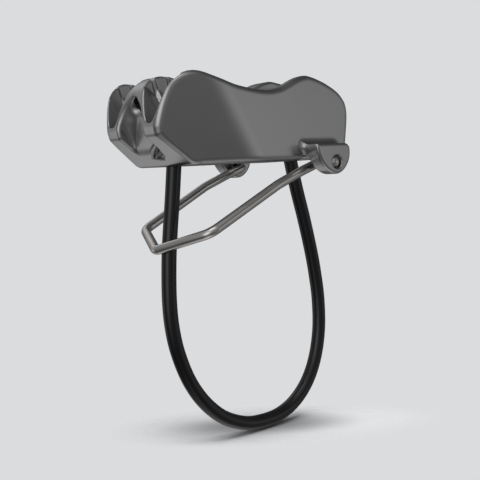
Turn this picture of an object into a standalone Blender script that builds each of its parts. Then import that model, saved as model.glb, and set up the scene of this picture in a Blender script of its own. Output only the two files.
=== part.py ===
"""Tube belay device: a forged two-slot body, a wire bail and a sheathed wire-rope loop.

Metres, +Z up. X = 0 lies midway between the loop's two exits, Y = 0 is the plane of
symmetry and Z = 0 is the flat underside of the body. The grooved lobes, which hold the
brake side of the ropes, point to -X, and the bail is hinged at the +X end.
"""

import math

import bmesh
import bpy
from mathutils import Matrix, Vector

MM = 0.001

# Gap between pieces that touch on the real device
GAP = 0.3 * MM

# Rope slots and the walls that part them
SLOT_WIDTH = 11.0 * MM
WEB = 6.0 * MM
SLOT_FRONT = -20.0 * MM
SLOT_BACK = 17.0 * MM
SLOT_CORNER = 4.0 * MM
SIDE_WALL = 3.2 * MM
FRONT_WALL = 1.7 * MM

# Side view of the body: the nose, the front lobe, the saddle, the rear hump and the tail
NOSE_X = -32.5 * MM
NOSE_Z = 9.3 * MM
CHIN_TOP_X = -32.1 * MM
CHIN_TOP_Z = 7.3 * MM
CHIN_TOP_BEND = 1.6 * MM
CHIN_FOOT_X = -23.0 * MM
CHIN_FOOT_BEND = 3.5 * MM
LOBE_X = -22.7 * MM
LOBE_Z = 22.1 * MM
SADDLE_X = -3.2 * MM
SADDLE_Z = 17.85 * MM
HUMP_X = 12.4 * MM
HUMP_Z = 21.75 * MM
TAIL_X = 26.4 * MM
TAIL_Z = 11.0 * MM
TAIL_FOOT_X = 24.5 * MM
EDGE_ROUND = 1.5 * MM
FOOT_ROUND = 1.5 * MM

# The turned-in facets beside the lobes: |Y| = side + offset + X * slope_x + Z * slope_z
FACET_OFFSET = 1.94 * MM
FACET_SLOPE_X = 0.277
FACET_SLOPE_Z = 0.158
FACET_REACH_X = -3.2 * MM

# The valley between the lobes: a pointed arch whose back leans forwards as it rises
VALLEY_HALF = 5.2 * MM
VALLEY_FOOT_X = -27.0 * MM
VALLEY_LEAN = 0.162
ARCH_SPRING_Z = 9.0 * MM
ARCH_CROWN_Z = 19.8 * MM
ARCH_POWER = 2.2

# Pockets on each side of the web's front ridge, which widens into the chin
RIDGE_HALF = 1.0 * MM
RIDGE_FOOT_HALF = 2.2 * MM
POCKET_OUTER_Y = 4.5 * MM
POCKET_BACK_X = -24.6 * MM
POCKET_FLOOR_Z = 2.2 * MM
POCKET_BEND_Z = 8.0 * MM
POCKET_TOP_Z = 14.0 * MM
POCKET_CORNER = 1.0 * MM

# Grooves with V-shaped walls that run from the slots out through the lobes
GROOVE_RADIUS = 1.9 * MM
GROOVE_WALL_ANGLE = math.radians(20.0)
GROOVE_NOSE_Z = 10.4 * MM
GROOVE_SLOT_Z = 5.0 * MM
GROOVE_INSET = 0.15 * MM

# V-shaped channels down the groove walls, with flat ribs between them
CHANNEL_FIRST_X = -27.0 * MM
CHANNEL_PITCH = 3.6 * MM
CHANNEL_WIDTH = 2.3 * MM
CHANNEL_DEPTH = 0.45 * MM
CHANNEL_TOP_DEPTH = 0.1 * MM
CHANNEL_DEEPEST = 0.6
CHANNEL_COUNT = 2

# Slanted hole through the top of the web, between the lobes
EYE_RADIUS = 2.2 * MM
EYE_X = -25.6 * MM
EYE_Z = 18.6 * MM
EYE_ANGLE = math.radians(45.0)

# Ears that carry the bail
HINGE_X = 15.7 * MM
HINGE_Z = -0.9 * MM
EAR_PROUD = 5.4 * MM
EAR_SINK = 0.2 * MM
EAR_DROP = 3.15 * MM
EAR_FRONT = 6.3 * MM
EAR_BACK = 5.2 * MM
EAR_TOP_Z = 3.9 * MM
EAR_REAR_Z = 1.5 * MM
EAR_CORNER = 1.7 * MM
EAR_POWER = 1.85
EAR_FILLET = 2.6 * MM
HINGE_BORE_RADIUS = 1.75 * MM
RELIEF_FRONT = 7.0 * MM
RELIEF_BACK = 4.0 * MM
RELIEF_Z = 1.2 * MM

# Bail: a bent spring-steel wire whose two ends snap into the ears
BAIL_RADIUS = 1.25 * MM
BAIL_END_SINK = 0.35 * MM
BAIL_END_DOME = 0.8 * MM
BAIL_ROOT_X = 9.4 * MM
BAIL_ROOT_Z = -2.9 * MM
BAIL_KNEE_X = 1.0 * MM
BAIL_KNEE_Z = -6.0 * MM
BAIL_CORNER_X = -20.6 * MM
BAIL_CORNER_IN = 0.85 * MM
BAIL_CORNER_Z = -16.5 * MM
BAIL_TIP_X = -27.0 * MM
BAIL_TIP_Z = -20.7 * MM
BAIL_END_BEND = 2.0 * MM
BAIL_ROOT_BEND = 9.0 * MM
BAIL_KNEE_BEND = 16.0 * MM
BAIL_CORNER_BEND = 3.5 * MM
BAIL_TIP_BEND = 2.2 * MM

# Loop: a wire rope in a plastic sheath, with a swaged ferrule on each end
SHEATH_RADIUS = 2.0 * MM
CORE_RADIUS = 1.1 * MM
LOOP_EXIT_X = 20.1 * MM
SHEATH_SEAT = 2.0 * MM
FERRULE_RADIUS = 2.1 * MM
FERRULE_LENGTH = 7.5 * MM
CORE_STUB = 0.8 * MM
LOOP_STEP = 6.0 * MM
PAST_END = 1.0 * MM

# Route of the loop's centre line below the underside, from the front exit to the rear one
LOOP_ROUTE = [
    (-21.2, -8.4),
    (-22.4, -16.5),
    (-23.3, -24.0),
    (-23.85, -33.6),
    (-23.5, -41.0),
    (-22.1, -48.0),
    (-19.1, -55.7),
    (-14.6, -62.4),
    (-8.6, -67.8),
    (-1.4, -71.1),
    (5.0, -72.0),
    (11.6, -71.5),
    (17.6, -69.0),
    (22.8, -64.3),
    (26.4, -57.8),
    (28.4, -49.8),
    (28.7, -41.2),
    (27.9, -33.6),
    (26.6, -26.3),
    (24.3, -16.6),
    (21.95, -8.0),
]

SLOT_Y = WEB / 2 + SLOT_WIDTH / 2
BODY_HALF = WEB / 2 + SLOT_WIDTH + SIDE_WALL
EAR_INNER_Y = BODY_HALF - EAR_SINK
EAR_OUTER_Y = BODY_HALF + EAR_PROUD
ARM_Y = EAR_INNER_Y - GAP - BAIL_RADIUS
BORE_RADIUS = FERRULE_RADIUS + GAP
OUTSIDE = 4.0 * MM


def clear_scene():
    """Removes everything that the file opened with."""
    for obj in list(bpy.data.objects):
        bpy.data.objects.remove(obj, do_unlink=True)


def material(name, colour, metallic, roughness):
    """A Principled BSDF with one colour."""
    made = bpy.data.materials.new(name)
    made.use_nodes = True
    shader = made.node_tree.nodes["Principled BSDF"]
    shader.inputs["Base Color"].default_value = (*colour, 1.0)
    shader.inputs["Metallic"].default_value = metallic
    shader.inputs["Roughness"].default_value = roughness
    return made


def curve_through(points, per_span):
    """Points on a centripetal-like smooth curve that passes through the given ones."""
    points = [Vector(p) for p in points]
    before = points[0] * 2 - points[1]
    after = points[-1] * 2 - points[-2]
    chain = [before] + points + [after]
    line = []
    for i in range(1, len(chain) - 2):
        p0, p1, p2, p3 = chain[i - 1:i + 3]
        for k in range(per_span):
            t = k / per_span
            line.append(0.5 * (2 * p1 + (p2 - p0) * t
                               + (2 * p0 - 5 * p1 + 4 * p2 - p3) * t * t
                               + (3 * p1 - p0 - 3 * p2 + p3) * t ** 3))
    line.append(points[-1])
    return line


def arc(centre, radius, start, stop, steps):
    """Points on an arc in a plane, with angles in degrees."""
    return [
        (centre[0] + radius * math.cos(math.radians(start + (stop - start) * i / steps)),
         centre[1] + radius * math.sin(math.radians(start + (stop - start) * i / steps)))
        for i in range(steps + 1)
    ]


def rounded_path(corners, radii, steps=5):
    """A path through corner points, each turned on an arc of its own radius."""
    corners = [Vector(c) for c in corners]
    path = [corners[0]]
    for i, radius in enumerate(radii, start=1):
        back = (corners[i - 1] - corners[i]).normalized()
        ahead = (corners[i + 1] - corners[i]).normalized()
        half = back.angle(ahead) / 2
        setback = radius / math.tan(half)
        centre = corners[i] + (back + ahead).normalized() * radius / math.sin(half)
        first = corners[i] + back * setback - centre
        last = corners[i] + ahead * setback - centre
        sweep = first.angle(last)
        axis = first.cross(last).normalized()
        for k in range(steps + 1):
            path.append(centre + Matrix.Rotation(sweep * k / steps, 3, axis) @ first)
    path.append(corners[-1])
    return path


def object_from(name, mesh_data, finish=None, cutter=False):
    """Closes a bmesh into a named object; a cutter is hidden from the render."""
    bmesh.ops.recalc_face_normals(mesh_data, faces=mesh_data.faces)
    mesh = bpy.data.meshes.new(name)
    mesh_data.to_mesh(mesh)
    mesh_data.free()
    obj = bpy.data.objects.new(name, mesh)
    bpy.context.collection.objects.link(obj)
    if finish:
        mesh.materials.append(finish)
    if cutter:
        obj.hide_render = True
        obj.display_type = "WIRE"
    return obj


def loft(name, sections, **options):
    """Joins closed sections with equally many points, and caps both ends."""
    shape = bmesh.new()
    rings = [[shape.verts.new(p) for p in section] for section in sections]
    for low, high in zip(rings, rings[1:]):
        for i in range(len(low)):
            j = (i + 1) % len(low)
            shape.faces.new((low[i], low[j], high[j], high[i]))
    shape.faces.new(rings[0])
    shape.faces.new(rings[-1])
    return object_from(name, shape, **options)


def prism_y(name, outline, low, high, **options):
    """A side-view outline carried across the body."""
    return loft(name, [[(x, y, z) for x, z in outline] for y in (low, high)], **options)


def prism_z(name, outline, low, high, **options):
    """A plan outline carried upwards."""
    return loft(name, [[(x, y, z) for x, y in outline] for z in (low, high)], **options)


def prism_x(name, outline, low, high, **options):
    """An end-view outline carried along the body."""
    return loft(name, [[(x, y, z) for y, z in outline] for x in (low, high)], **options)


def rounded_box(low, high, radius, steps=4):
    """A plane rectangle with round corners."""
    corners = (
        ((high[0] - radius, high[1] - radius), 0),
        ((low[0] + radius, high[1] - radius), 90),
        ((low[0] + radius, low[1] + radius), 180),
        ((high[0] - radius, low[1] + radius), 270),
    )
    return [p for centre, start in corners for p in arc(centre, radius, start, start + 90, steps)]


def cylinder(name, start, end, radius, sides=24, **options):
    """A round bar between two points."""
    start, end = Vector(start), Vector(end)
    turn = (end - start).to_track_quat("Z", "Y").to_matrix().to_4x4()
    ring = [Vector((x, y, 0)) for x, y in arc((0, 0), radius, 0, 360, sides)[:-1]]
    return loft(name, [[Matrix.Translation(p) @ turn @ v for v in ring] for p in (start, end)],
                **options)


def combine(body, tool, operation):
    """Adds an exact boolean to the body."""
    step = body.modifiers.new(tool.name, "BOOLEAN")
    step.operation = operation
    step.solver = "EXACT"
    step.object = tool


def cut(body, tool):
    combine(body, tool, "DIFFERENCE")


def add(body, tool):
    combine(body, tool, "UNION")


def side_outline():
    """The body's outline in X and Z, along the plane of symmetry."""
    chin = [(TAIL_FOOT_X, 0, 0), (CHIN_FOOT_X, 0, 0), (CHIN_TOP_X, 0, CHIN_TOP_Z),
            (NOSE_X, 0, NOSE_Z)]
    chin = rounded_path(chin, [CHIN_FOOT_BEND, CHIN_TOP_BEND], 4)[:-1]
    lobe_rise = LOBE_Z - NOSE_Z
    lobe_run = LOBE_X - NOSE_X
    front_drop = LOBE_Z - SADDLE_Z
    rear_rise = HUMP_Z - SADDLE_Z
    tail_drop = HUMP_Z - TAIL_Z
    tail_run = TAIL_X - HUMP_X
    ring = [
        (NOSE_X, NOSE_Z),
        (NOSE_X + 0.02 * lobe_run, NOSE_Z + 0.15 * lobe_rise),
        (NOSE_X + 0.11 * lobe_run, NOSE_Z + 0.46 * lobe_rise),
        (NOSE_X + 0.28 * lobe_run, NOSE_Z + 0.76 * lobe_rise),
        (NOSE_X + 0.60 * lobe_run, NOSE_Z + 0.95 * lobe_rise),
        (LOBE_X, LOBE_Z),
        (LOBE_X + 0.28 * (SADDLE_X - LOBE_X), LOBE_Z - 0.35 * front_drop),
        (LOBE_X + 0.60 * (SADDLE_X - LOBE_X), LOBE_Z - 0.77 * front_drop),
        (SADDLE_X, SADDLE_Z),
        (SADDLE_X + 0.33 * (HUMP_X - SADDLE_X), SADDLE_Z + 0.16 * rear_rise),
        (SADDLE_X + 0.64 * (HUMP_X - SADDLE_X), SADDLE_Z + 0.69 * rear_rise),
        (SADDLE_X + 0.81 * (HUMP_X - SADDLE_X), SADDLE_Z + 0.92 * rear_rise),
        (HUMP_X, HUMP_Z),
        (HUMP_X + 0.37 * tail_run, HUMP_Z - 0.125 * tail_drop),
        (HUMP_X + 0.72 * tail_run, HUMP_Z - 0.33 * tail_drop),
        (HUMP_X + 0.90 * tail_run, HUMP_Z - 0.53 * tail_drop),
        (HUMP_X + 0.98 * tail_run, HUMP_Z - 0.72 * tail_drop),
        (TAIL_X, TAIL_Z),
        (TAIL_FOOT_X + 0.6 * (TAIL_X - TAIL_FOOT_X), 0.5 * TAIL_Z),
        (TAIL_FOOT_X + 0.15 * (TAIL_X - TAIL_FOOT_X), 0.1 * TAIL_Z),
    ]
    top = [(p.x, p.y) for p in curve_through(ring, 4)]
    return top + [(p.x, p.z) for p in chin]


def make_block(finish):
    """The side outline at full width, with its long upper edges rounded."""
    block = prism_y("device_body", side_outline(), -BODY_HALF, BODY_HALF, finish=finish)
    shape = bmesh.new()
    shape.from_mesh(block.data)
    rims = []
    for edge in shape.edges:
        a, b = (v.co for v in edge.verts)
        along = a.y * b.y > 0
        front = (NOSE_X + LOBE_X) / 2
        if along and min(a.z, b.z) > CHIN_TOP_Z / 2 and min(a.x, b.x) > front:
            rims.append(edge)
    bmesh.ops.bevel(shape, geom=rims, offset=EDGE_ROUND, segments=3, profile=0.5,
                    affect="EDGES")
    bmesh.ops.triangulate(shape, faces=shape.faces)
    shape.to_mesh(block.data)
    shape.free()
    return block


def cut_foot(body):
    """Rounds the long lower edges with three flats each."""
    reach = FOOT_ROUND / math.cos(math.radians(11.25))
    for side in (-1, 1):
        centre_y = BODY_HALF - FOOT_ROUND
        bends = arc((centre_y, FOOT_ROUND), reach, -56.25, -33.75, 1)
        slope = math.tan(math.radians(22.5))
        start = (bends[0][0] - (bends[0][1] + OUTSIDE) * slope, -OUTSIDE)
        end = (BODY_HALF + OUTSIDE, bends[1][1] + (BODY_HALF + OUTSIDE - bends[1][0]) / slope)
        section = [start] + bends + [end, (BODY_HALF + 2 * OUTSIDE, end[1]),
                                     (BODY_HALF + 2 * OUTSIDE, -OUTSIDE)]
        cut(body, prism_x(f"foot_cutter_{side}", [(side * y, z) for y, z in section],
                          NOSE_X - OUTSIDE, TAIL_X + OUTSIDE, cutter=True))


def cut_facets(body):
    """Turns the sides in towards the nose of each lobe."""
    outer = BODY_HALF + 3 * OUTSIDE
    low, high = -OUTSIDE, LOBE_Z + OUTSIDE
    for side in (-1, 1):
        sections = []
        for x in (NOSE_X - OUTSIDE, FACET_REACH_X):
            inner = [BODY_HALF + FACET_OFFSET + FACET_SLOPE_X * x + FACET_SLOPE_Z * z
                     for z in (low, high)]
            sections.append([(x, side * inner[0], low), (x, side * outer, low),
                             (x, side * outer, high), (x, side * inner[1], high)])
        cut(body, loft(f"facet_cutter_{side}", sections, cutter=True))


def valley_back(z):
    """X of the valley's back, and of the ridge's front, at one height."""
    return VALLEY_FOOT_X - VALLEY_LEAN * z


def valley_half(z):
    """Half the valley's width at one height; above the spring it closes to a point."""
    share = max(0.0, (z - ARCH_SPRING_Z) / (ARCH_CROWN_Z - ARCH_SPRING_Z))
    return VALLEY_HALF * (1 - min(1.0, share) ** ARCH_POWER)


def cut_valley(body):
    """Parts the two lobes below their bridge, with a pocket on each side of the ridge."""
    rise = ARCH_CROWN_Z - ARCH_SPRING_Z
    levels = [-OUTSIDE, ARCH_SPRING_Z] + [ARCH_SPRING_Z + share * rise
                                          for share in (0.3, 0.5, 0.65, 0.78, 0.9, 0.97)]
    sections = []
    for z in levels:
        half, front, back = valley_half(z), NOSE_X - OUTSIDE, valley_back(z)
        depth = back - NOSE_X
        bank = [(front, half), (NOSE_X + 0.15 * depth, 0.99 * half),
                (NOSE_X + 0.55 * depth, 0.86 * half), (NOSE_X + 0.88 * depth, 0.58 * half),
                (back, 0.22 * half)]
        bank = [(p.x, p.y) for p in curve_through(bank, 3)]
        ring = bank + [(x, -y) for x, y in reversed(bank)]
        sections.append([(x, y, z) for x, y in ring])
    cut(body, loft("valley_cutter", sections, cutter=True))
    for side in (-1, 1):
        sections = []
        for z in (POCKET_FLOOR_Z, (POCKET_FLOOR_Z + POCKET_BEND_Z) / 2, POCKET_BEND_Z,
                  POCKET_TOP_Z):
            sunk = max(0.0, (z - POCKET_BEND_Z) / (POCKET_TOP_Z - POCKET_BEND_Z))
            back = POCKET_BACK_X + sunk * (valley_back(POCKET_TOP_Z) - POCKET_BACK_X)
            inner = RIDGE_FOOT_HALF if z == POCKET_FLOOR_Z else RIDGE_HALF
            ring = rounded_box((NOSE_X - OUTSIDE, inner), (back, POCKET_OUTER_Y),
                               POCKET_CORNER, 3)
            sections.append([(x, side * y, z) for x, y in ring])
        cut(body, loft(f"pocket_cutter_{side}", sections, cutter=True))


def groove_section(x, centre_y, floor_z, channel):
    """One section of a rope groove: a round floor, sloping walls, then the slot's width.

    channel is 1 in the middle of a channel and 0 on a rib.
    """
    angle = math.degrees(GROOVE_WALL_ANGLE)
    floor = arc((centre_y, floor_z + GROOVE_RADIUS), GROOVE_RADIUS, 180 + angle, 360 - angle, 8)
    half = SLOT_WIDTH / 2 - GROOVE_INSET
    run = half - GROOVE_RADIUS * math.cos(GROOVE_WALL_ANGLE)
    shoulder_z = floor[0][1] + run / math.tan(GROOVE_WALL_ANGLE)
    roof_z = LOBE_Z + OUTSIDE
    middle = (half - run * (1 - CHANNEL_DEEPEST) + channel * CHANNEL_DEPTH,
              floor[0][1] + CHANNEL_DEEPEST * (shoulder_z - floor[0][1]))
    top = half + channel * CHANNEL_TOP_DEPTH
    wall = [middle, (top, shoulder_z), (top, roof_z)]
    points = floor + [(centre_y + y, z) for y, z in wall]
    points += [(centre_y - y, z) for y, z in reversed(wall)]
    return [(x, y, z) for y, z in points]


def slot_outline():
    """The slot on the +Y side in plan; its outer wall keeps off the facet near the front."""
    inner = WEB / 2
    outer = inner + SLOT_WIDTH
    limit = BODY_HALF + FACET_OFFSET - FRONT_WALL
    start = ((SLOT_FRONT + SLOT_BACK) / 2, inner, 0)
    corners = [start, (SLOT_FRONT, inner, 0), (SLOT_FRONT, limit + FACET_SLOPE_X * SLOT_FRONT, 0),
               ((outer - limit) / FACET_SLOPE_X, outer, 0), (SLOT_BACK, outer, 0),
               (SLOT_BACK, inner, 0), start]
    return [(p.x, p.y) for p in rounded_path(corners, [SLOT_CORNER] * 5)[:-1]]


def cut_slots(body):
    """The two rope slots, each with its channelled groove out through a lobe."""
    fall = (GROOVE_SLOT_Z - GROOVE_NOSE_Z) / (SLOT_FRONT - NOSE_X)
    stations = [(NOSE_X - OUTSIDE, 0)]
    for i in range(CHANNEL_COUNT):
        x = CHANNEL_FIRST_X + i * CHANNEL_PITCH
        stations += [(x - CHANNEL_WIDTH / 2, 0), (x, 1), (x + CHANNEL_WIDTH / 2, 0)]
    stations.append((SLOT_FRONT + 1.5 * SLOT_CORNER, 0))
    for side in (-1, 1):
        cut(body, prism_z(f"slot_cutter_{side}", [(x, side * y) for x, y in slot_outline()],
                          -OUTSIDE, HUMP_Z + OUTSIDE, cutter=True))
        sections = [groove_section(x, side * SLOT_Y, GROOVE_NOSE_Z + fall * (x - NOSE_X), channel)
                    for x, channel in stations]
        cut(body, loft(f"groove_cutter_{side}", sections, cutter=True))


def cut_eye(body):
    """The slanted hole through the top of the web."""
    reach = Vector((math.cos(EYE_ANGLE), 0, math.sin(EYE_ANGLE))) * 5 * EYE_RADIUS
    centre = Vector((EYE_X, 0, EYE_Z))
    cut(body, cylinder("eye_cutter", centre - reach, centre + reach, EYE_RADIUS, cutter=True))


def ear_outline(growth):
    """The ear in side view; growth widens its root where it blends into the body."""
    foot_z = HINGE_Z - EAR_DROP
    ring = []
    for i in range(7):
        angle = math.pi / 2 * i / 6
        ring.append((HINGE_X - EAR_FRONT * math.cos(angle) ** (2 / EAR_POWER),
                     EAR_TOP_Z - (EAR_TOP_Z - foot_z) * math.sin(angle) ** (2 / EAR_POWER)))
    for i in range(1, 6):
        angle = math.pi / 2 * i / 5
        ring.append((HINGE_X + EAR_BACK * math.sin(angle) ** (2 / EAR_POWER),
                     EAR_REAR_Z - (EAR_REAR_Z - foot_z) * math.cos(angle) ** (2 / EAR_POWER)))
    ring += arc((HINGE_X + EAR_BACK - EAR_CORNER, EAR_TOP_Z - EAR_CORNER), EAR_CORNER, 0, 90, 3)
    grown = []
    for x, z in ring:
        lift = growth * min(1.0, max(0.0, (z - foot_z) / (EAR_TOP_Z - foot_z)) ** 2)
        away = -1 if x < HINGE_X else 1
        grown.append((x + away * lift, z + (lift if z > EAR_REAR_Z else 0.0)))
    return grown


def add_ears(body):
    """Two ears outside the side walls, blended into them and bored for the bail."""
    for side in (-1, 1):
        relief = rounded_box((HINGE_X - RELIEF_FRONT, -OUTSIDE),
                             (HINGE_X + RELIEF_BACK, RELIEF_Z), GAP)
        ys = sorted((side * (ARM_Y - BAIL_RADIUS - GAP), side * (BODY_HALF + OUTSIDE)))
        cut(body, prism_y(f"relief_cutter_{side}", relief, ys[0], ys[1], cutter=True))
    for side in (-1, 1):
        sections = []
        blend = EAR_OUTER_Y - EAR_INNER_Y
        for step in (0.0, 0.06, 0.15, 0.3, 0.5, 0.75, 1.0):
            growth = EAR_FILLET * (1 - math.sin(math.pi / 2 * min(1.0, step / 0.75)))
            y = side * (EAR_INNER_Y + step * blend)
            sections.append([(x, y, z) for x, z in ear_outline(growth)])
        add(body, loft(f"ear_blank_{side}", sections, cutter=True))
    for side in (-1, 1):
        inner = (HINGE_X, side * (EAR_INNER_Y - GAP), HINGE_Z)
        outer = (HINGE_X, side * (EAR_OUTER_Y + OUTSIDE), HINGE_Z)
        cut(body, cylinder(f"hinge_cutter_{side}", inner, outer, HINGE_BORE_RADIUS, cutter=True))


def exit_axis(front):
    """A loop exit on the underside, and the direction in which the loop leaves it."""
    start = Vector((-LOOP_EXIT_X if front else LOOP_EXIT_X, 0, 0))
    x, z = LOOP_ROUTE[0] if front else LOOP_ROUTE[-1]
    return start, (Vector((x * MM, 0, z * MM)) - start).normalized()


def cut_loop_bores(body):
    """Blind bores for the loop's ends, in line with the way it leaves."""
    depth = SHEATH_SEAT + GAP + FERRULE_LENGTH + CORE_STUB + GAP
    for front in (True, False):
        start, away = exit_axis(front)
        name = "front_bore_cutter" if front else "rear_bore_cutter"
        cut(body, cylinder(name, start + away * OUTSIDE, start - away * depth, BORE_RADIUS,
                           cutter=True))


def make_body(finish):
    """The forged body with everything that is cut into it."""
    body = make_block(finish)
    cut_foot(body)
    cut_facets(body)
    cut_valley(body)
    cut_slots(body)
    cut_eye(body)
    add_ears(body)
    cut_loop_bores(body)
    return body


def wire(name, points, radius, resolution, scales=None):
    """A round wire: a poly curve with a bevel and filled caps."""
    curve = bpy.data.curves.new(name, "CURVE")
    curve.dimensions = "3D"
    curve.bevel_depth = radius
    curve.bevel_resolution = resolution
    curve.use_fill_caps = True
    curve.render_resolution_u = 0
    spline = curve.splines.new("POLY")
    spline.points.add(len(points) - 1)
    for i, point in enumerate(points):
        spline.points[i].co = (*point, 1.0)
        if scales:
            spline.points[i].radius = scales[i]
    obj = bpy.data.objects.new(name, curve)
    bpy.context.collection.objects.link(obj)
    return obj


def make_bail(finish):
    """The bail: two arms, a V-shaped end and a domed end of the wire in each ear."""
    half = [
        (HINGE_X, EAR_OUTER_Y - BAIL_END_SINK - BAIL_END_DOME, HINGE_Z),
        (HINGE_X, ARM_Y, HINGE_Z),
        (BAIL_ROOT_X, ARM_Y, BAIL_ROOT_Z),
        (BAIL_KNEE_X, ARM_Y, BAIL_KNEE_Z),
        (BAIL_CORNER_X, ARM_Y - BAIL_CORNER_IN, BAIL_CORNER_Z),
    ]
    near = [(x, -y, z) for x, y, z in half]
    corners = near + [(BAIL_TIP_X, 0, BAIL_TIP_Z)] + half[::-1]
    bends = [BAIL_END_BEND, BAIL_ROOT_BEND, BAIL_KNEE_BEND, BAIL_CORNER_BEND]
    shaft = rounded_path(corners, bends + [BAIL_TIP_BEND] + bends[::-1])
    dome = [(BAIL_END_DOME * math.sin(angle), math.cos(angle))
            for angle in (math.radians(35), math.radians(60), math.radians(80))]
    near_dome = [(shaft[0] - Vector((0, rise, 0)), scale) for rise, scale in dome]
    far_dome = [(shaft[-1] + Vector((0, rise, 0)), scale) for rise, scale in dome]
    stations = near_dome[::-1] + [(p, 1.0) for p in shaft] + far_dome
    bail = wire("wire_bail", [p for p, _ in stations], BAIL_RADIUS, 3,
                [scale for _, scale in stations])
    bail.data.materials.append(finish)
    return bail


def loop_points(seat_front, seat_rear):
    """The loop's centre line, with its ends the given depths inside the body."""
    front, front_away = exit_axis(True)
    rear, rear_away = exit_axis(False)
    route = [front] + [Vector((x * MM, 0, z * MM)) for x, z in LOOP_ROUTE] + [rear]
    fine = curve_through(route, 12)
    points = [front - front_away * seat_front, front]
    travelled = 0.0
    length = sum((b - a).length for a, b in zip(fine, fine[1:]))
    count = round(length / LOOP_STEP)
    for a, b in zip(fine, fine[1:]):
        travelled += (b - a).length
        if travelled >= (len(points) - 1) * length / count and len(points) - 1 < count:
            points.append(b)
    return points + [rear, rear - rear_away * seat_rear]


def meshed(obj):
    """A mesh object with the shape and the name of a curve object, for a boolean."""
    graph = bpy.context.evaluated_depsgraph_get()
    mesh = bpy.data.meshes.new_from_object(obj.evaluated_get(graph))
    name = obj.name
    bpy.data.objects.remove(obj, do_unlink=True)
    made = bpy.data.objects.new(name, mesh)
    bpy.context.collection.objects.link(made)
    return made


def make_loop(core_finish, sheath_finish, ferrule_finish):
    """The wire rope, its sheath with a bore, and the two ferrules inside the body."""
    reach = SHEATH_SEAT + GAP + FERRULE_LENGTH + CORE_STUB
    core = wire("cable_core", loop_points(reach, reach), CORE_RADIUS, 2)
    core.data.materials.append(core_finish)
    tube = wire("cable_sheath", loop_points(SHEATH_SEAT, SHEATH_SEAT), SHEATH_RADIUS, 6)
    tube.data.materials.append(sheath_finish)
    sheath = meshed(tube)
    past_end = SHEATH_SEAT + PAST_END
    bore = meshed(wire("sheath_bore_cutter", loop_points(past_end, past_end),
                       CORE_RADIUS + GAP, 2))
    bore.hide_render = True
    bore.display_type = "WIRE"
    cut(sheath, bore)
    for front in (True, False):
        start, away = exit_axis(front)
        low = start - away * (SHEATH_SEAT + GAP)
        high = low - away * FERRULE_LENGTH
        name = "cable_ferrule_front" if front else "cable_ferrule_rear"
        ferrule = cylinder(name, low, high, FERRULE_RADIUS, finish=ferrule_finish)
        bore_name = "front_ferrule_cutter" if front else "rear_ferrule_cutter"
        past = away * PAST_END
        cut(ferrule, cylinder(bore_name, low + past, high - past, CORE_RADIUS + GAP,
                              sides=16, cutter=True))


def main():
    clear_scene()
    anodised = material("anodised_aluminium", (0.09, 0.09, 0.1), 1.0, 0.3)
    stainless = material("stainless_wire", (0.55, 0.55, 0.56), 1.0, 0.25)
    rope = material("galvanised_rope", (0.45, 0.45, 0.46), 1.0, 0.45)
    plastic = material("black_sheath", (0.012, 0.012, 0.013), 0.0, 0.3)
    swaged = material("swaged_ferrule", (0.6, 0.6, 0.62), 1.0, 0.4)
    make_body(anodised)
    make_bail(stainless)
    make_loop(rope, plastic, swaged)


main()
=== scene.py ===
"""Looks of the tube belay device: camera, body, bail, loop, materials, floor and light.

Metres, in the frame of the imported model: the body's flat underside is Z = 0, the lobes
point to -X, the bail is hinged at +X and the loop hangs below. The body is worked out as a
field of distances in millimetres, which is turned into a mesh.
"""

import math

import bpy
import numpy as np
from mathutils import Matrix, Vector

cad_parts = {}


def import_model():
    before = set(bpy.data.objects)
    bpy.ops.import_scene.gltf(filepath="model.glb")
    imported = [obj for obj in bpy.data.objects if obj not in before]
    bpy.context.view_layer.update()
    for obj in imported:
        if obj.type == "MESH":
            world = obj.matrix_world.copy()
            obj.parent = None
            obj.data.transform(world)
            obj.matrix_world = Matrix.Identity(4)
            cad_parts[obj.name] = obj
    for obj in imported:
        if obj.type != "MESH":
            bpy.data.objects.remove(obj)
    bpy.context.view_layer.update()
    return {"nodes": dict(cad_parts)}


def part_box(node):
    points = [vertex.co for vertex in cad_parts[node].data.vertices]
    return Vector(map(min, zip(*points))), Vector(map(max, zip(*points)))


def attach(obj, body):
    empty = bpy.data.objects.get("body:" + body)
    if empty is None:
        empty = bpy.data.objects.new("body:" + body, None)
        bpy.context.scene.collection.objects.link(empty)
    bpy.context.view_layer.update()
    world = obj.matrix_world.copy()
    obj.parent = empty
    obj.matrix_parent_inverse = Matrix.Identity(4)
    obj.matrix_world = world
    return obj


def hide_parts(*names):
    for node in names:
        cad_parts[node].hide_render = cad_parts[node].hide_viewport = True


MM = 0.001

# The photograph's camera, fitted to the object's straight edges, in a 480 x 480 frame
CAMERA_PLACE = (-136.05 * MM, -167.86 * MM, -1.61 * MM)
CAMERA_AZIMUTH = -39.06
CAMERA_ELEVATION = 5.03
CAMERA_ROLL = -2.94
FOCAL_PIXELS = 800.8
FRAME_PIXELS = 480
SENSOR = 36.0
CAMERA_CLIP = (0.005, 50.0)

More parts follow.
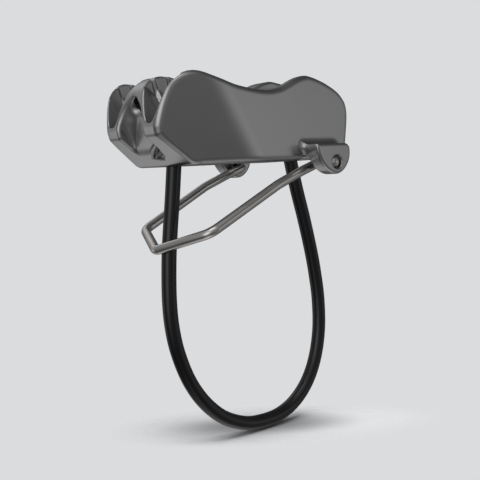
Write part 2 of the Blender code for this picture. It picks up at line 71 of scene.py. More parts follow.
# Body in millimetres. Most sizes are those of the part's source. These follow the photograph
# more closely: the valley's width and back, the hollow in the chin, the grooves' teeth, the
# slanted hole, the ear's front and fillet, and the bail's ends. The round edges are only here.
SLOT_WIDTH = 11.0
WEB = 6.0
SLOT_FRONT = -20.0
SLOT_BACK = 17.0
SLOT_CORNER = 4.0
SIDE_WALL = 3.2
FRONT_WALL = 1.7
SLOT_EDGE = 0.8
NOSE = (-32.5, 9.3)
CHIN_TOP = (-32.1, 7.3)
CHIN_TOP_BEND = 1.6
CHIN_FOOT_X = -23.0
CHIN_FOOT_BEND = 3.5
LOBE = (-22.7, 22.08)
SADDLE = (-3.2, 17.85)
HUMP = (12.4, 21.75)
TAIL = (26.4, 11.0)
TAIL_FOOT_X = 24.5
EDGE_ROUND = 1.5
CHIN_EDGE_ROUND = 0.9
CHIN_EDGE_Z = (8.5, 5.0)
CHIN_EDGE_X = (-20.0, -24.0)
FACET_OFFSET = 1.94
FACET_SLOPE_X = 0.277
FACET_SLOPE_Z = 0.158
FACET_BLEND = 0.9
VALLEY_HALF = 5.4
VALLEY_FOOT_X = -27.0
VALLEY_LEAN = 0.162
VALLEY_BEND = 4.2
VALLEY_FOOT_BEND = 1.0
VALLEY_BEND_Z = (5.0, 12.0)
VALLEY_EDGE = 0.9
ARCH_FOOT_Z = -27.0
ARCH_SPRING_Z = 9.0
ARCH_CROWN_Z = 19.8
ARCH_POWER = 2.2
POCKET = [(-5.2, 6.4), (-3.6, 5.3), (1.1, 2.3), (-2.9, 1.6), (-5.2, 2.9)]
POCKET_BACK_X = -24.6
POCKET_ROUND = 0.5
POCKET_EDGE = 0.25
GROOVE_RADIUS = 1.9
GROOVE_WALL_ANGLE = math.radians(20.0)
GROOVE_NOSE_Z = 10.4
GROOVE_SLOT_Z = 5.0
GROOVE_EDGE = 0.35
GROOVE_EASE = 0.93
TOOTH_FIRST = (-26.5, 19.1)
TOOTH_PITCH = 4.45
TOOTH_FACE = 0.8
TOOTH_BACK = 3.2
TOOTH_DEPTH = 1.05
TOOTH_LEAN = 0.28
TOOTH_REACH = 0.5
TOOTH_RISE = (1.5, 4.5)
TOOTH_COUNT = 2
LIP_REACH = 1.3
LIP_DEPTH = 0.3
LIP_RISE = (-0.5, 2.0)
RIM = 0.75
RIM_ROUND = 0.5
EYE = (-25.6, 19.0)
EYE_RADIUS = 1.7
EYE_ANGLE = math.radians(45.0)
EYE_TOP = (-23.9, 17.0, 1.5)
EYE_EDGE = 0.9
HINGE = (15.7, -0.9)
EAR_PROUD = 5.4
EAR_SINK = 0.2
EAR_DROP = 3.15
EAR_FRONT = 7.0
EAR_BACK = 5.2
EAR_TOP_Z = 3.9
EAR_REAR_Z = 1.5
EAR_CORNER = 1.7
EAR_POWER = 1.85
EAR_FILLET = 2.1
EAR_FOOT_FILLET = 0.25
EAR_FILLET_Z = (0.8, 3.2)
EAR_EDGE = 0.8
EAR_BACK_Y = 18.0
EAR_BACK_Z = (1.5, 0.0)
HINGE_BORE_RADIUS = 1.75
RELIEF_FRONT = 7.0
RELIEF_BACK = 4.0
RELIEF_Z = 1.2
GAP = 0.3
SMALL_EDGE = 0.3

# Points of the side outline between its corners: how far along and how far up each one lies
LOBE_SHARES = ((0.02, 0.15), (0.11, 0.46), (0.28, 0.76), (0.6, 0.95))
SADDLE_SHARES = ((0.28, 0.35), (0.6, 0.77))
HUMP_SHARES = ((0.33, 0.16), (0.64, 0.69), (0.81, 0.92))
TAIL_SHARES = ((0.37, 0.125), (0.72, 0.33), (0.9, 0.53), (0.98, 0.72))
FOOT_SHARES = ((0.6, 0.5), (0.15, 0.1))

# The field's grid: its step in millimetres and its margin in steps; and how its points
# settle on the surface, with a nudge in millimetres to feel the slope
GRID_STEP = 0.3
GRID_MARGIN = 2.5
SETTLE_ROUNDS = 2
SETTLE_NUDGE = 0.03
SETTLE_LEAST_SLOPE = 0.2

# How many steps the curves take: a span or a bend, the arch, a quarter of the ear, the wire
CURVE_STEPS = 8
ARCH_STEPS = 20
EAR_STEPS = 16
WIRE_STEPS = 8

# Bail in millimetres; its bends are at the ear, the root, the knee and the corner
BAIL_RADIUS = 1.25
BAIL_ROOT = (9.4, -2.9)
BAIL_KNEE = (1.0, -6.0)
BAIL_CORNER = (-20.6, -16.5)
BAIL_CORNER_IN = 0.85
BAIL_TIP = (-27.0, -20.7)
BAIL_BENDS = [2.0, 9.0, 16.0, 3.5]
BAIL_TIP_BEND = 2.2
BAIL_END_SINK = 0.15
BAIL_END_DOME = 0.9
BAIL_END_SWELL = 1.15

# The loop's route below the underside, as in the part's source, in millimetres
LOOP_EXIT_X = 20.1
LOOP_ROUTE = [
    (-21.2, -8.4),
    (-22.4, -16.5),
    (-23.3, -24.0),
    (-23.85, -33.6),
    (-23.5, -41.0),
    (-22.1, -48.0),
    (-19.1, -55.7),
    (-14.6, -62.4),
    (-8.6, -67.8),
    (-1.4, -71.1),
    (5.0, -72.0),
    (11.6, -71.5),
    (17.6, -69.0),
    (22.8, -64.3),
    (26.4, -57.8),
    (28.4, -49.8),
    (28.7, -41.2),
    (27.9, -33.6),
    (26.6, -26.3),
    (24.3, -16.6),
    (21.95, -8.0),
]
# The sheath's edge in the photograph gives a radius a little under the part's 2 mm
LOOP_RADIUS = 1.92 * MM
LOOP_SEAT = 2.0 * MM
LOOP_BORE_RADIUS = 2.15

# The floor, and the oval patch under the loop with a painted shadow that deepens the real one:
# where the patch lies, its half lengths, and between which shares of them it and then the
# floor fade away
FLOOR_Z = -74.2 * MM
FLOOR_HALF = 0.6
FLOOR_COLOUR = (0.715, 0.723, 0.738)
SHADOW_COLOUR = (0.30, 0.304, 0.311)
SHADOW_CENTRE = (6.5 * MM, 3.0 * MM)
SHADOW_TURN = math.radians(-39.0)
SHADOW_REACH = (29.0 * MM, 10.5 * MM)
SHADOW_EDGE = (0.2, 1.1)
FLOOR_EDGE = (0.9, 1.8)
BACKGROUND = (0.708, 0.716, 0.730)

SLOT_Y = WEB / 2 + SLOT_WIDTH / 2
BODY_HALF = WEB / 2 + SLOT_WIDTH + SIDE_WALL
EAR_INNER_Y = BODY_HALF - EAR_SINK
EAR_OUTER_Y = BODY_HALF + EAR_PROUD
ARM_Y = EAR_INNER_Y - GAP - BAIL_RADIUS


def make_camera():
    """A camera at the photograph's place and angle."""
    azimuth, elevation, roll = (math.radians(v) for v in
                                (CAMERA_AZIMUTH, CAMERA_ELEVATION, CAMERA_ROLL))
    back = Vector((math.sin(azimuth) * math.cos(elevation),
                   -math.cos(azimuth) * math.cos(elevation), math.sin(elevation)))
    right = Vector((math.cos(azimuth), math.sin(azimuth), 0))
    up = back.cross(right)
    tilted_right = math.cos(roll) * right + math.sin(roll) * up
    tilted_up = math.cos(roll) * up - math.sin(roll) * right
    data = bpy.data.cameras.new("camera")
    data.sensor_width = SENSOR
    data.lens = FOCAL_PIXELS / FRAME_PIXELS * SENSOR
    data.clip_start, data.clip_end = CAMERA_CLIP
    camera = bpy.data.objects.new("camera", data)
    bpy.context.collection.objects.link(camera)
    turn = Matrix((tilted_right, tilted_up, back)).transposed()
    camera.matrix_world = Matrix.Translation(CAMERA_PLACE) @ turn.to_4x4()
    bpy.context.scene.camera = camera


def curve_through(points):
    """Points on a smooth curve that passes through the given ones."""
    points = [Vector(p) for p in points]
    chain = [points[0] * 2 - points[1]] + points + [points[-1] * 2 - points[-2]]
    line = []
    for i in range(1, len(chain) - 2):
        p0, p1, p2, p3 = chain[i - 1:i + 3]
        for k in range(CURVE_STEPS):
            t = k / CURVE_STEPS
            line.append(0.5 * (2 * p1 + (p2 - p0) * t
                               + (2 * p0 - 5 * p1 + 4 * p2 - p3) * t * t
                               + (3 * p1 - p0 - 3 * p2 + p3) * t ** 3))
    line.append(points[-1])
    return line


def rounded_path(corners, radii):
    """A path through corner points, each turned on an arc of its own radius."""
    corners = [Vector(c) for c in corners]
    path = [corners[0]]
    for i, radius in enumerate(radii, start=1):
        back = (corners[i - 1] - corners[i]).normalized()
        ahead = (corners[i + 1] - corners[i]).normalized()
        half = back.angle(ahead) / 2
        setback = radius / math.tan(half)
        centre = corners[i] + (back + ahead).normalized() * radius / math.sin(half)
        first = corners[i] + back * setback - centre
        last = corners[i] + ahead * setback - centre
        sweep = first.angle(last)
        axis = first.cross(last).normalized()
        for k in range(CURVE_STEPS + 1):
            path.append(centre + Matrix.Rotation(sweep * k / CURVE_STEPS, 3, axis) @ first)
    path.append(corners[-1])
    return path


def side_outline():
    """The body's outline in X and Z, along the plane of symmetry."""
    chin = [(TAIL_FOOT_X, 0, 0), (CHIN_FOOT_X, 0, 0), (CHIN_TOP[0], 0, CHIN_TOP[1]),
            (NOSE[0], 0, NOSE[1])]
    chin = rounded_path(chin, [CHIN_FOOT_BEND, CHIN_TOP_BEND])[:-1]

    def between(low, high, shares):
        return [(low[0] + run * (high[0] - low[0]), low[1] + rise * (high[1] - low[1]))
                for run, rise in shares]

    foot = (TAIL_FOOT_X, 0.0)
    ring = [NOSE, *between(NOSE, LOBE, LOBE_SHARES)]
    ring += [LOBE, *between(LOBE, SADDLE, SADDLE_SHARES)]
    ring += [SADDLE, *between(SADDLE, HUMP, HUMP_SHARES)]
    ring += [HUMP, *between(HUMP, TAIL, TAIL_SHARES)]
    ring += [TAIL, *between(foot, TAIL, FOOT_SHARES)]
    top = [(p.x, p.y) for p in curve_through(ring)]
    return top + [(p.x, p.z) for p in chin]


def arch_outline():
    """The valley's cross-section in Y and Z: straight banks that close to a point."""
    bank = [(VALLEY_HALF, ARCH_FOOT_Z)]
    for i in range(ARCH_STEPS + 1):
        share = i / ARCH_STEPS
        z = ARCH_SPRING_Z + share * (ARCH_CROWN_Z - ARCH_SPRING_Z)
        bank.append((VALLEY_HALF * (1 - share ** ARCH_POWER), z))
    return bank + [(-y, z) for y, z in reversed(bank[:-1])]


def ear_outline():
    """The ear's outline in X and Z."""
    foot_z = HINGE[1] - EAR_DROP
    ring = []
    for i in range(EAR_STEPS + 1):
        angle = math.pi / 2 * i / EAR_STEPS
        ring.append((HINGE[0] - EAR_FRONT * math.cos(angle) ** (2 / EAR_POWER),
                     EAR_TOP_Z - (EAR_TOP_Z - foot_z) * math.sin(angle) ** (2 / EAR_POWER)))
    for i in range(1, EAR_STEPS + 1):
        angle = math.pi / 2 * i / EAR_STEPS
        ring.append((HINGE[0] + EAR_BACK * math.sin(angle) ** (2 / EAR_POWER),
                     EAR_REAR_Z - (EAR_REAR_Z - foot_z) * math.cos(angle) ** (2 / EAR_POWER)))
    for i in range(CURVE_STEPS + 1):
        angle = math.pi / 2 * i / CURVE_STEPS
        ring.append((HINGE[0] + EAR_BACK - EAR_CORNER * (1 - math.cos(angle)),
                     EAR_TOP_Z - EAR_CORNER * (1 - math.sin(angle))))
    return ring


def outline_distance(x, z, outline):
    """Distance to a closed outline, negative inside."""
    nearest = np.full(np.broadcast(x, z).shape, np.inf)
    inside = np.zeros(nearest.shape, bool)
    for (ax, az), (bx, bz) in zip(outline, outline[1:] + outline[:1]):
        run, rise = bx - ax, bz - az
        px, pz = x - ax, z - az
        share = np.clip((px * run + pz * rise) / (run * run + rise * rise), 0, 1)
        nearest = np.minimum(nearest, (px - share * run) ** 2 + (pz - share * rise) ** 2)
        if az != bz:
            inside ^= ((az > z) != (bz > z)) & (px < pz * run / rise)
    return np.where(inside, -1, 1) * np.sqrt(nearest)


def ramp(value, start, end):
    """Rises smoothly from 0 at start to 1 at end."""
    share = np.clip((value - start) / (end - start), 0, 1)
    return share * share * (3 - 2 * share)


def meet(a, b, radius):
    """What two solids share, with a round edge between them."""
    round_part = np.hypot(np.maximum(radius + a, 0), np.maximum(radius + b, 0))
    return np.minimum(-radius, np.maximum(a, b)) + round_part


def join(a, b, radius):
    """Two solids in one, with a fillet between them."""
    return -meet(-a, -b, radius)


def carve(solid, tool, radius):
    """A solid less a tool, with a round edge."""
    return meet(solid, -tool, radius)


def sides(x, y, z):
    """The flat side and the facet that turns in towards the nose, softly blended."""
    flat = y - BODY_HALF
    facet = y - BODY_HALF - FACET_OFFSET - FACET_SLOPE_X * x - FACET_SLOPE_Z * z
    facet = facet / math.sqrt(1 + FACET_SLOPE_X ** 2 + FACET_SLOPE_Z ** 2)
    near = np.maximum(FACET_BLEND - np.abs(flat - facet), 0)
    return np.maximum(flat, facet) + near * near / (4 * FACET_BLEND)


def slot(x, y):
    """A rope slot, straight up through the body; its outer wall keeps off the facet.

    The wall turns on so wide a bend that the slot's front half is up to 1.1 mm narrower
    than the part's.
    """
    along = np.abs(x - (SLOT_FRONT + SLOT_BACK) / 2) - (SLOT_BACK - SLOT_FRONT) / 2 + SLOT_CORNER
    across = np.abs(y - SLOT_Y) - SLOT_WIDTH / 2 + SLOT_CORNER
    corner = np.hypot(np.maximum(along, 0), np.maximum(across, 0))
    shape = corner + np.minimum(np.maximum(along, across), 0) - SLOT_CORNER
    limit = y - (BODY_HALF + FACET_OFFSET - FRONT_WALL) - FACET_SLOPE_X * x
    return meet(shape, limit / math.hypot(1, FACET_SLOPE_X), SLOT_CORNER)


def trough(across, rise, radius):
    """A round floor with sloping walls."""
    angle = GROOVE_WALL_ANGLE
    wall = across * math.cos(angle) - rise * math.sin(angle)
    height = across * math.sin(angle) + rise * math.cos(angle)
    return np.where(height > 0, wall, np.hypot(across, rise)) - radius, height


def groove(x, y, z, depth):
    """A rope groove out through a lobe, with teeth down its walls and a lip in front."""
    fall = (GROOVE_SLOT_Z - GROOVE_NOSE_Z) / (SLOT_FRONT - NOSE[0])
    floor_z = GROOVE_NOSE_Z + fall * (x - NOSE[0])
    across = np.abs(y - SLOT_Y)
    shape, height = trough(across, z - floor_z - GROOVE_RADIUS, GROOVE_RADIUS)
    cut = 0.0
    for i in range(TOOTH_COUNT):
        past = x - TOOTH_FIRST[0] - i * TOOTH_PITCH + TOOTH_LEAN * (z - TOOTH_FIRST[1])
        cut = np.maximum(cut, 1 - np.maximum(past / TOOTH_FACE, -past / TOOTH_BACK))
    cut = cut * ramp(height, *TOOTH_RISE) * TOOTH_DEPTH
    lip = np.clip(1 - depth / LIP_REACH, 0, 1) * ramp(height, *LIP_RISE) * LIP_DEPTH
    shape = shape * GROOVE_EASE - cut - lip
    shape = np.maximum(shape, across - SLOT_WIDTH / 2 - TOOTH_REACH * cut)
    shape = meet(shape, sides(x, y, z) + RIM, RIM_ROUND)
    shape = meet(shape, RIM - valley(x, y, z), RIM_ROUND)
    return np.maximum(shape, x - SLOT_FRONT - SLOT_CORNER)


def valley_back(z):
    """X of the valley's back, and of the ridge's front, at one height."""
    return VALLEY_FOOT_X - VALLEY_LEAN * z


def valley(x, y, z):
    """The arch between the lobes, whose back leans forwards as it rises."""
    arch = outline_distance(y, z, arch_outline())
    back = (x - valley_back(z)) / math.hypot(1, VALLEY_LEAN)
    bend = VALLEY_FOOT_BEND + (VALLEY_BEND - VALLEY_FOOT_BEND) * ramp(z, *VALLEY_BEND_Z)
    return meet(arch, back, bend)


def pocket(x, y, z):
    """The hollow in the chin beside the near lobe."""
    return meet(outline_distance(y, z, POCKET), x - POCKET_BACK_X, POCKET_ROUND)


def eye(x, y, z):
    """The slanted hole through the top of the web, with its opening on the top."""
    off = (x - EYE[0]) * math.sin(EYE_ANGLE) - (z - EYE[1]) * math.cos(EYE_ANGLE)
    slanted = np.hypot(y, off) - EYE_RADIUS
    top_x, top_z, radius = EYE_TOP
    upright = np.maximum(np.hypot(x - top_x, y) - radius, top_z - z)
    return np.minimum(slanted, upright)


def loop_bore(x, y, z, front):
    """The hole in the underside that the loop comes out of."""
    start_x = -LOOP_EXIT_X if front else LOOP_EXIT_X
    next_x, next_z = LOOP_ROUTE[0] if front else LOOP_ROUTE[-1]
    run, rise = next_x - start_x, next_z
    length = math.hypot(run, rise)
    off = ((x - start_x) * rise - z * run) / length
    depth = -((x - start_x) * run + z * rise) / length
    return np.maximum(np.hypot(y, off) - LOOP_BORE_RADIUS, depth - LOOP_SEAT / MM - GAP)


def ear(x, y, z):
    """An ear, with a round rim on both faces."""
    side = outline_distance(x, z, ear_outline())
    inner = EAR_INNER_Y + (EAR_BACK_Y - EAR_INNER_Y) * ramp(z, *EAR_BACK_Z)
    thickness = np.maximum(y - EAR_OUTER_Y, inner - y)
    return meet(side, thickness, EAR_EDGE)


def body_field(x, y, z):
    """Distance to the body's surface in millimetres, negative in the metal."""
    near_pocket = pocket(x, y, z)
    y = np.abs(y)
    profile = outline_distance(x, z, side_outline())
    near_chin = ramp(z, *CHIN_EDGE_Z) * ramp(x, *CHIN_EDGE_X)
    edge = EDGE_ROUND + (CHIN_EDGE_ROUND - EDGE_ROUND) * near_chin
    solid = meet(profile, sides(x, y, z), edge)
    depth = np.maximum(-profile, 0)
    solid = carve(solid, near_pocket, POCKET_EDGE)
    solid = carve(solid, valley(x, y, z), VALLEY_EDGE)
    solid = carve(solid, slot(x, y), SLOT_EDGE)
    solid = carve(solid, groove(x, y, z, depth), GROOVE_EDGE)
    solid = carve(solid, eye(x, y, z), EYE_EDGE)
    fillet = EAR_FOOT_FILLET + (EAR_FILLET - EAR_FOOT_FILLET) * ramp(z, *EAR_FILLET_Z)
    solid = join(solid, ear(x, y, z), fillet)
    relief = np.maximum(HINGE[0] - RELIEF_FRONT - x, x - HINGE[0] - RELIEF_BACK)
    relief = np.maximum(relief, np.maximum(z - RELIEF_Z, y - EAR_INNER_Y))
    relief = np.maximum(relief, ARM_Y - BAIL_RADIUS - GAP - y)
    solid = carve(solid, relief, SMALL_EDGE)
    bore = np.hypot(x - HINGE[0], z - HINGE[1]) - HINGE_BORE_RADIUS
    solid = carve(solid, np.maximum(bore, EAR_INNER_Y - GAP - y), SMALL_EDGE)
    for front in (True, False):
        solid = carve(solid, loop_bore(x, y, z, front), SMALL_EDGE)
    return solid


def surface(values):
    """Points and quads of a sampled field's zero surface, in steps of the grid."""
    inside = values < 0
    cells = tuple(n - 1 for n in values.shape)
    total = np.zeros(cells + (3,))
    count = np.zeros(cells)
    for axis in range(3):
        for corner in np.ndindex(2, 2, 2):
            if corner[axis]:
                continue
            other = tuple(c + (i == axis) for i, c in enumerate(corner))
            here, there = (tuple(slice(c, c + n) for c, n in zip(end, cells))
                           for end in (corner, other))
            crossed = inside[here] != inside[there]
            share = values[here][crossed] / (values[here][crossed] - values[there][crossed])
            place = np.tile(np.array(corner, float), (len(share), 1))
            place[:, axis] += share
            total[crossed] += place
            count[crossed] += 1
    used = count > 0
    number = np.full(cells, -1)
    number[used] = np.arange(used.sum())
    points = np.argwhere(used) + total[used] / count[used][:, None]
    quads = []
    for axis in range(3):
        first, second = (axis + 1) % 3, (axis + 2) % 3
        low = [slice(1, -1)] * 3
        high = [slice(1, -1)] * 3
        low[axis], high[axis] = slice(0, -1), slice(1, None)
        crossed = inside[tuple(low)] != inside[tuple(high)]
        place = np.argwhere(crossed)
        place[:, [first, second]] += 1
        ring = []
        for back in ((0, 0), (1, 0), (1, 1), (0, 1)):
            cell = place.copy()
            cell[:, first] -= back[0]
            cell[:, second] -= back[1]
            ring.append(number[tuple(cell.T)])
        ring = np.stack(ring, axis=1)
        outwards = inside[tuple(low)][crossed]
        quads.append(np.where(outwards[:, None], ring, ring[:, ::-1]))
    return points, np.concatenate(quads)


def settle(points, field):
    """Moves points onto the zero surface, down the field's slope."""
    for _ in range(SETTLE_ROUNDS):
        value = field(*points.T)
        slope = np.empty_like(points)
        for axis in range(3):
            moved = points.copy()
            moved[:, axis] += SETTLE_NUDGE
            slope[:, axis] = (field(*moved.T) - value) / SETTLE_NUDGE
        size = np.maximum((slope * slope).sum(axis=1), SETTLE_LEAST_SLOPE)
        move = np.clip(value / size, -GRID_STEP / 2, GRID_STEP / 2)
        points = points - slope * move[:, None]
    return points


def make_body(finish):
    """The forged body as one mesh."""
    low, high = (np.array(corner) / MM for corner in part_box("device_body"))
    low, high = low - GRID_MARGIN * GRID_STEP, high + GRID_MARGIN * GRID_STEP
    x, y, z = (np.arange(low[i], high[i], GRID_STEP) for i in range(3))
    values = body_field(x[:, None, None], y[None, :, None], z[None, None, :])
    points, quads = surface(values)
    points = points * GRID_STEP + np.array([x[0], y[0], z[0]])
    points = settle(points, body_field) * MM
    mesh = bpy.data.meshes.new("forged_body")
    mesh.from_pydata(points.tolist(), [], quads.tolist())
    mesh.shade_smooth()
    mesh.materials.append(finish)
    body = bpy.data.objects.new("forged_body", mesh)
    bpy.context.collection.objects.link(body)
    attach(body, "body")
    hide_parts("device_body")


def wire(name, points, radius, finish, scales=None):
    """A round wire: a poly curve with a bevel and closed ends."""
    curve = bpy.data.curves.new(name, "CURVE")
    curve.dimensions = "3D"
    curve.bevel_depth = radius
    curve.bevel_resolution = WIRE_STEPS
    curve.use_fill_caps = True
    spline = curve.splines.new("POLY")
    spline.points.add(len(points) - 1)
    for i, point in enumerate(points):
        spline.points[i].co = (*point, 1.0)
        if scales:
            spline.points[i].radius = scales[i]
    spline.use_smooth = True
    curve.materials.append(finish)
    made = bpy.data.objects.new(name, curve)
    bpy.context.collection.objects.link(made)
    return made


def make_bail(finish):
    """The bent wire, with a domed end in each ear."""
    half = [
        (HINGE[0], EAR_OUTER_Y - BAIL_END_SINK - BAIL_END_DOME, HINGE[1]),
        (HINGE[0], ARM_Y, HINGE[1]),
        (BAIL_ROOT[0], ARM_Y, BAIL_ROOT[1]),
        (BAIL_KNEE[0], ARM_Y, BAIL_KNEE[1]),
        (BAIL_CORNER[0], ARM_Y - BAIL_CORNER_IN, BAIL_CORNER[1]),
    ]
    near = [(x, -y, z) for x, y, z in half]
    corners = near + [(BAIL_TIP[0], 0, BAIL_TIP[1])] + half[::-1]
    shaft = rounded_path(corners, BAIL_BENDS + [BAIL_TIP_BEND] + BAIL_BENDS[::-1])
    turns = [math.radians(90 * i / WIRE_STEPS) for i in range(1, WIRE_STEPS)]
    dome = [(BAIL_END_DOME * math.sin(turn), BAIL_END_SWELL * math.cos(turn)) for turn in turns]
    near_dome = [(shaft[0] - Vector((0, rise, 0)), scale) for rise, scale in dome]
    far_dome = [(shaft[-1] + Vector((0, rise, 0)), scale) for rise, scale in dome]
    stations = near_dome[::-1] + [(p, 1.0) for p in shaft] + far_dome
    bail = wire("bent_bail", [p * MM for p, _ in stations], BAIL_RADIUS * MM, finish,
                [scale for _, scale in stations])
    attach(bail, "bail")
    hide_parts("wire_bail")


def make_loop(finish):
    """The sheathed loop, a round wire along the loop's route."""
    route = [Vector((-LOOP_EXIT_X, 0, 0))]
    route += [Vector((x, 0, z)) for x, z in LOOP_ROUTE]
    route += [Vector((LOOP_EXIT_X, 0, 0))]
    line = [p * MM for p in curve_through(route)]
    front = (line[0] - line[1]).normalized()
    rear = (line[-1] - line[-2]).normalized()
    points = [line[0] + front * LOOP_SEAT] + line + [line[-1] + rear * LOOP_SEAT]
    sheath = wire("loop_sheath", points, LOOP_RADIUS, finish)
    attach(sheath, "body")
    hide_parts("cable_sheath")


class Nodes:
    """Short calls for building one node tree."""

    def __init__(self, tree):
        self.tree = tree

    def add(self, kind, links=None, **settings):
        """A node; links are values or outputs for its inputs, by name or number."""
        node = self.tree.nodes.new(kind)
        for key, value in settings.items():
            setattr(node, key, value)
        for key, value in (links or {}).items():
            if isinstance(value, bpy.types.NodeSocket):
                self.tree.links.new(value, node.inputs[key])
            else:
                node.inputs[key].default_value = value
        return node

    def math(self, operation, *values):
        """The output of one math node."""
        links = dict(enumerate(values))
        return self.add("ShaderNodeMath", links, operation=operation).outputs[0]

    def noise(self, place, scale, detail):
        """A noise value from 0 to 1."""
        links = {"Vector": place, "Scale": scale, "Detail": detail}
        return self.add("ShaderNodeTexNoise", links).outputs["Fac"]

    def between(self, share, low, high):
        """A number that goes from low to high as the share goes from 0 to 1."""
        links = {"Value": share, "To Min": low, "To Max": high}
        return self.add("ShaderNodeMapRange", links).outputs["Result"]

    def rising(self, value, start, end):
        """Rises smoothly from 0 at start to 1 at end."""
        links = {"Value": value, "From Min": start, "From Max": end}
        return self.add("ShaderNodeMapRange", links,
                        interpolation_type="SMOOTHSTEP").outputs["Result"]

    def blend(self, share, first, second):
        """A colour between two others."""
        node = self.add("ShaderNodeMix", {"Factor": share}, data_type="RGBA")
        for name, value in (("A", first), ("B", second)):
            socket = next(s for s in node.inputs if s.name == name and s.type == "RGBA")
            if isinstance(value, bpy.types.NodeSocket):
                self.tree.links.new(value, socket)
            else:
                socket.default_value = (*value, 1.0)
        return next(s for s in node.outputs if s.type == "RGBA")


def new_material(name):
    """A material with its Principled shader, its nodes and the object's own coordinates."""
    made = bpy.data.materials.new(name)
    made.use_nodes = True
    nodes = Nodes(made.node_tree)
    shader = made.node_tree.nodes["Principled BSDF"]
    place = nodes.add("ShaderNodeTexCoord").outputs["Object"]
    return made, nodes, shader, place


def link(nodes, shader, **outputs):
    """Joins outputs to the shader's inputs."""
    for key, output in outputs.items():
        nodes.tree.links.new(output, shader.inputs[key.replace("_", " ")])


def bump(nodes, height, strength, distance):
    """The normal of a bumpy surface."""
    links = {"Height": height, "Strength": strength, "Distance": distance}
    return nodes.add("ShaderNodeBump", links).outputs["Normal"]


def anodised_material():
    """Polished forging under thin dark anodising: faint mottling, haze and fine grain."""
    made, nodes, shader, place = new_material("dark_anodised")
    cloud = nodes.noise(place, scale=90.0, detail=3.0)
    grain = nodes.noise(place, scale=2600.0, detail=2.0)
    tint = nodes.blend(cloud, (0.40, 0.40, 0.405), (0.46, 0.46, 0.463))
    haze = nodes.math("ADD", nodes.between(cloud, low=0.20, high=0.27),
                      nodes.between(grain, low=0.0, high=0.04))
    shader.inputs["Metallic"].default_value = 1.0
    link(nodes, shader, Base_Color=tint, Roughness=haze,
         Normal=bump(nodes, grain, strength=0.05, distance=0.04 * MM))
    return made


def stainless_material():
    """Drawn stainless wire: bright, with long faint streaks."""
    made, nodes, shader, place = new_material("drawn_stainless")
    along = nodes.add("ShaderNodeMapping", {"Vector": place, "Scale": (1.0, 1.0, 6.0)})
    streak = nodes.noise(along.outputs["Vector"], scale=120.0, detail=2.0)
    tint = nodes.blend(streak, (0.51, 0.495, 0.475), (0.74, 0.725, 0.705))
    shader.inputs["Metallic"].default_value = 1.0
    link(nodes, shader, Base_Color=tint, Roughness=nodes.between(streak, low=0.12, high=0.24),
         Normal=bump(nodes, streak, strength=0.02, distance=0.05 * MM))
    return made


def sheath_material():
    """Glossy extruded black plastic with a slight ripple."""
    made, nodes, shader, place = new_material("glossy_black_plastic")
    ripple = nodes.noise(place, scale=160.0, detail=2.0)
    tint = nodes.blend(ripple, (0.005, 0.005, 0.006), (0.010, 0.0095, 0.0095))
    link(nodes, shader, Base_Color=tint, Roughness=nodes.between(ripple, low=0.08, high=0.2),
         Normal=bump(nodes, ripple, strength=0.1, distance=0.2 * MM))
    return made


def rope_material():
    """Galvanised wire rope."""
    made, nodes, shader, place = new_material("galvanised_rope")
    strand = nodes.noise(place, scale=900.0, detail=2.0)
    shader.inputs["Metallic"].default_value = 1.0
    link(nodes, shader, Base_Color=nodes.blend(strand, (0.3, 0.3, 0.31), (0.55, 0.55, 0.56)),
         Roughness=nodes.between(strand, low=0.35, high=0.55))
    return made


def sleeve_material():
    """Plain swaged metal."""
    made, nodes, shader, place = new_material("swaged_sleeve")
    cloud = nodes.noise(place, scale=300.0, detail=2.0)
    shader.inputs["Metallic"].default_value = 1.0
    link(nodes, shader, Base_Color=nodes.blend(cloud, (0.52, 0.52, 0.54), (0.66, 0.66, 0.68)),
         Roughness=nodes.between(cloud, low=0.35, high=0.45))
    return made


# What the studio's world shines with, by direction: where a soft card's middle is, how
# sharply it ends and how bright it is
STUDIO_BASE = 0.05
STUDIO_CARDS = [
    ((0.81, -0.56, -0.18), 4.0, 0.21),
    ((0.53, -0.85, 0.0), 60.0, 0.26),
    ((0.66, -0.75, 0.10), 25.0, 0.13),
    ((-0.16, -0.98, -0.06), 25.0, 0.17),
    ((-0.14, -0.77, 0.63), 25.0, 0.35),
    ((-0.29, -0.45, -0.84), 25.0, 0.25),
    ((-0.62, -0.21, 0.76), 4.0, 0.4),
    ((-0.88, -0.46, 0.10), 12.0, 1.15),
    ((-0.60, 0.77, -0.20), 30.0, 0.45),
    ((-0.38, -0.24, 0.88), 30.0, 1.3),
    ((0.10, 0.05, -0.99), 10.0, 0.8),
    ((0.14, 0.78, -0.61), 20.0, 0.5),
    ((0.12, 0.75, 0.64), 20.0, 0.6),
    ((-0.35, 0.90, 0.25), 6.0, 0.3),
]

# The sun stands for a soft box overhead, which lights the floor and the plastic
SUN_TILT = (math.radians(5.0), math.radians(5.0), 0.0)
SUN_STRENGTH = 2.6
SUN_ANGLE = math.radians(48.0)


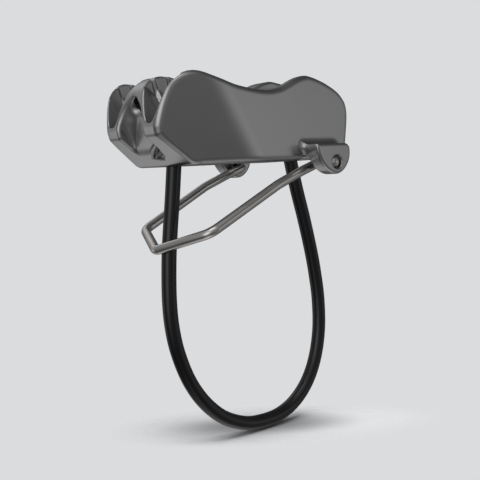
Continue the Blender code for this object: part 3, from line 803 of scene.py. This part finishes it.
def make_world():
    """A pale studio, even for the camera and made of soft cards for everything else."""
    world = bpy.data.worlds.new("studio")
    bpy.context.scene.world = world
    world.use_nodes = True
    nodes = Nodes(world.node_tree)
    direction = nodes.add("ShaderNodeTexCoord").outputs["Generated"]
    glow = STUDIO_BASE
    for middle, sharpness, strength in STUDIO_CARDS:
        towards = tuple(Vector(middle).normalized())
        facing = nodes.add("ShaderNodeVectorMath", {0: direction, 1: towards},
                           operation="DOT_PRODUCT").outputs["Value"]
        falling = nodes.math("MULTIPLY", nodes.math("SUBTRACT", facing, 1.0), sharpness)
        glow = nodes.math("MULTIPLY_ADD", nodes.math("EXPONENT", falling), strength, glow)
    shade = nodes.add("ShaderNodeCombineColor", {"Red": glow, "Green": glow, "Blue": glow})
    is_camera = nodes.add("ShaderNodeLightPath").outputs["Is Camera Ray"]
    colour = nodes.blend(is_camera, shade.outputs["Color"], BACKGROUND)
    background = world.node_tree.nodes["Background"]
    world.node_tree.links.new(colour, background.inputs["Color"])


def make_sun():
    """The soft box overhead; no reflection shows its hard disc."""
    data = bpy.data.lights.new("soft_box", "SUN")
    data.energy = SUN_STRENGTH
    data.angle = SUN_ANGLE
    sun = bpy.data.objects.new("soft_box", data)
    sun.rotation_euler = SUN_TILT
    bpy.context.collection.objects.link(sun)
    sun.visible_glossy = False


def floor_material():
    """A pale matt colour, darkened by a painted shadow in the oval patch, and clear further out.
    """
    made = bpy.data.materials.new("pale_floor")
    made.use_nodes = True
    tree = made.node_tree
    tree.nodes.remove(tree.nodes["Principled BSDF"])
    nodes = Nodes(tree)
    place = nodes.add("ShaderNodeTexCoord").outputs["Object"]
    patch = nodes.add("ShaderNodeMapping", {
        "Vector": place, "Location": (*SHADOW_CENTRE, FLOOR_Z),
        "Rotation": (0.0, 0.0, SHADOW_TURN), "Scale": (*SHADOW_REACH, 1.0),
    }, vector_type="TEXTURE").outputs["Vector"]
    reach = nodes.add("ShaderNodeVectorMath", {0: patch}, operation="LENGTH").outputs["Value"]
    # Painted shadow: the floor's colour darkens towards the patch's middle
    tint = nodes.blend(nodes.rising(reach, *SHADOW_EDGE), SHADOW_COLOUR, FLOOR_COLOUR)
    fade = nodes.rising(reach, *FLOOR_EDGE)
    diffuse = nodes.add("ShaderNodeBsdfDiffuse", {"Color": tint})
    clear = nodes.add("ShaderNodeBsdfTransparent")
    shaders = {0: fade, 1: diffuse.outputs[0], 2: clear.outputs[0]}
    mixed = nodes.add("ShaderNodeMixShader", shaders)
    tree.links.new(mixed.outputs[0], tree.nodes["Material Output"].inputs["Surface"])
    return made


def make_floor(finish):
    """A floor that keeps the object's shadow; no reflection shows it."""
    mesh = bpy.data.meshes.new("floor")
    square = ((-1, -1), (1, -1), (1, 1), (-1, 1))
    corners = [(x * FLOOR_HALF, y * FLOOR_HALF, FLOOR_Z) for x, y in square]
    mesh.from_pydata(corners, [], [(0, 1, 2, 3)])
    mesh.materials.append(finish)
    floor = bpy.data.objects.new("floor", mesh)
    bpy.context.collection.objects.link(floor)
    floor.visible_glossy = False


def main():
    """Loads the frame, and builds every piece and its surroundings."""
    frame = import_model()
    bpy.context.scene.view_settings.view_transform = "Standard"
    make_camera()
    make_loop(sheath_material())
    make_body(anodised_material())
    make_bail(stainless_material())
    hidden = {"cable_core": rope_material(), "cable_ferrule_front": sleeve_material(),
              "cable_ferrule_rear": sleeve_material()}
    for name, finish in hidden.items():
        node = frame["nodes"][name]
        node.data.materials.clear()
        node.data.materials.append(finish)
    make_world()
    make_sun()
    make_floor(floor_material())


main()
